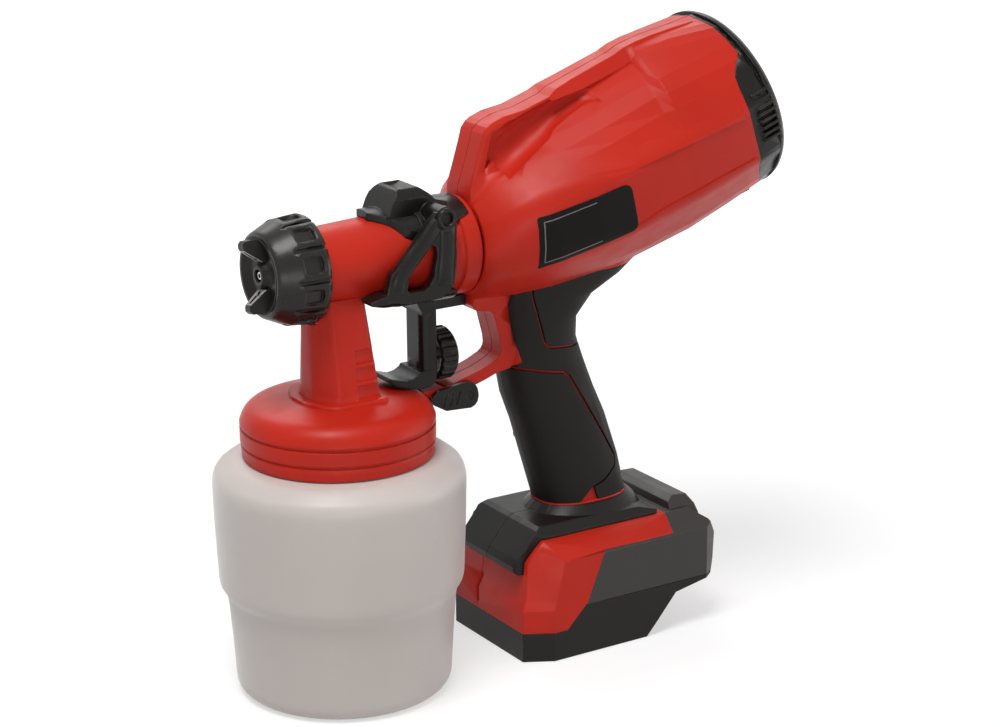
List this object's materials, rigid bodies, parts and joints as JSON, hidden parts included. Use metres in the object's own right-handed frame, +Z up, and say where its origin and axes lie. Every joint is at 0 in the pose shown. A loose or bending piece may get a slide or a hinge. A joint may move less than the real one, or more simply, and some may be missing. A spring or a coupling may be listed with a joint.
{
  "type": "cordless paint sprayer",
  "caption": "Handheld turbine paint sprayer: a tilted motor casing on a grip with a battery foot, and a spray head with trigger, ringed nozzle and a screw-on paint cup.",
  "frame": {"origin": "centre of the cup's base, on the plane that the cup and the foot stand on", "axes": "+Z up along the cup's axis, the nozzle points along -X, the casing and the foot lie along +X; the object is symmetrical about the plane Y = 0"},
  "size_m": [0.2933, 0.118, 0.2992],
  "materials": {
    "red_plastic": "fine satin moulded",
    "black_plastic": "satin moulded",
    "grip_rubber": "matt, fine grain",
    "seal_rubber": "matt",
    "grey_plastic": "satin moulded",
    "cup_plastic": "milky, slightly translucent",
    "tube_plastic": "milky",
    "steel": "turned",
    "dark_steel": "blackened",
    "brass": "stamped",
    "board": "lacquered",
    "filter_foam": "open foam"
  },
  "bodies": {
    "turbine_unit": {"housing_left": "red_plastic", "housing_right": "red_plastic", "grip_left": "grip_rubber", "grip_right": "grip_rubber", "foot_pad": "black_plastic", "rear_bumper": "black_plastic", "foot_base": "black_plastic", "housing_screws": "steel", "base_screws": "steel", "fan_housing": "grey_plastic", "motor": "steel", "front_bearing": "steel", "rear_bearing": "steel", "socket_seal": "seal_rubber", "control_board": "board", "switch_body": "grey_plastic", "terminal_block": "black_plastic", "contact_blades": "brass", "latch_pin": "dark_steel", "plunger_spring": "steel"},
    "spray_head": {"gun_body": "red_plastic", "latch_keeper": "red_plastic", "coupling_collar": "red_plastic", "trigger_saddle": "black_plastic", "pivot_pins": "dark_steel", "fluid_tube": "black_plastic", "fluid_nozzle": "steel", "packing_nut": "steel", "lid_gasket": "seal_rubber", "suction_tube": "tube_plastic", "needle_spring": "steel"},
    "trigger": {"trigger": "black_plastic"},
    "flow_wheel": {"flow_wheel": "black_plastic", "adjust_screw": "steel"},
    "needle": {"needle": "steel", "needle_carrier": "black_plastic"},
    "plunger": {"plunger": "black_plastic"},
    "union_nut": {"union_nut": "black_plastic"},
    "air_cap": {"air_cap": "black_plastic"},
    "cup": {"cup": "cup_plastic"},
    "filter_cover": {"filter_cover": "black_plastic", "air_filter": "filter_foam"},
    "latch_lever": {"latch_lever": "black_plastic"},
    "rotor": {"motor_shaft": "steel", "impeller": "grey_plastic"}
  },
  "joints": [
    {"name": "head_release", "type": "slide", "parent": "turbine_unit", "child": "spray_head", "axis": [-1, 0, 0], "range_m": [0, 0.018]},
    {"name": "trigger_pull", "type": "hinge", "parent": "spray_head", "child": "trigger", "pos_m": [0.044, 0, 0.2242], "axis": [0, -1, 0], "range_deg": [0, 9], "stiffness_Nm_per_rad": 1.5, "springref_deg": -25.78},
    {"name": "needle_slide", "type": "slide", "parent": "spray_head", "child": "needle", "axis": [1, 0, 0], "range_m": [0, 0.0033], "deforming": ["needle_spring"]},
    {"name": "plunger_slide", "type": "slide", "parent": "turbine_unit", "child": "plunger", "axis": [1, 0, 0], "range_m": [0, 0.0075], "deforming": ["plunger_spring"]},
    {"name": "flow_wheel_turn", "type": "hinge", "parent": "trigger", "child": "flow_wheel", "pos_m": [0.0499, 0, 0.153], "axis": [1, 0, 0], "range_deg": [0, 360]},
    {"name": "union_nut_turn", "type": "hinge", "parent": "spray_head", "child": "union_nut", "pos_m": [-0.02, 0, 0.2042], "axis": [1, 0, 0], "range_deg": [0, 360]},
    {"name": "air_cap_turn", "type": "hinge", "parent": "spray_head", "child": "air_cap", "pos_m": [-0.03, 0, 0.2042], "axis": [1, 0, 0], "range_deg": [0, 90]},
    {"name": "cup_unscrew", "type": "hinge", "parent": "spray_head", "child": "cup", "pos_m": [0, 0, 0.12], "axis": [0, 0, 1], "range_deg": [0, 360]},
    {"name": "filter_cover_slide", "type": "slide", "parent": "turbine_unit", "child": "filter_cover", "axis": [0.9397, 0, 0.342], "range_m": [0, 0.025]},
    {"name": "latch_lever_turn", "type": "hinge", "parent": "turbine_unit", "child": "latch_lever", "pos_m": [0.0649, 0, 0.1327], "axis": [0, -1, 0], "range_deg": [0, 60]},
    {"name": "impeller_spin", "type": "hinge", "parent": "turbine_unit", "child": "rotor", "pos_m": [0.074, 0, 0.2042], "axis": [0.9397, 0, 0.342], "continuous": true}
  ],
  "couplings": [
    {"joint": "needle_slide", "follows": "trigger_pull", "m_per_rad": 0.0202},
    {"joint": "plunger_slide", "follows": "trigger_pull", "m_per_rad": 0.0468}
  ]
}
